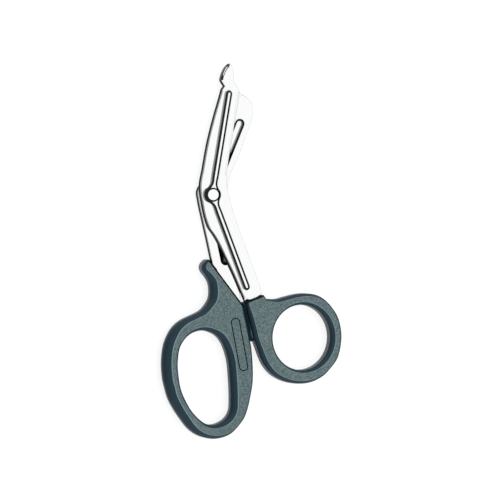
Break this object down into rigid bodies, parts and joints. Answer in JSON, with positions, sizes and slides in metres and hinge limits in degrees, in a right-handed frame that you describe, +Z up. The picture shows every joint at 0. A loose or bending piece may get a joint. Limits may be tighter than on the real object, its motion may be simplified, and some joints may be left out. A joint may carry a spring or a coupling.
{
  "type": "utility scissors",
  "caption": "Angled utility shears with two stamped ribbed blades on one rivet, a blunt bent-up foot at the tip and moulded finger and thumb loops.",
  "frame": {"origin": "centre of the bounding box, on the surface the scissors lie on", "axes": "+Y towards the blade tips, +Z up out of the face with the rivet's head, +X towards the thumb loop"},
  "size_m": [0.0934, 0.1892, 0.01],
  "materials": {
    "blade_steel": "polished stainless sheet, brightly lit",
    "rivet_steel": "smooth polished rivet",
    "handle_plastic": "finely textured moulded plastic"
  },
  "bodies": {
    "finger_side": {"upper_blade": "blade_steel", "finger_handle": "handle_plastic", "pivot_rivet": "rivet_steel"},
    "thumb_side": {"lower_blade": "blade_steel", "thumb_handle": "handle_plastic"}
  },
  "joints": [
    {"name": "blade_pivot", "type": "hinge", "parent": "finger_side", "child": "thumb_side", "pos_m": [-0.02058, 0.02831, 0.005], "axis": [0, 0, 1], "range_deg": [0, 70]}
  ]
}
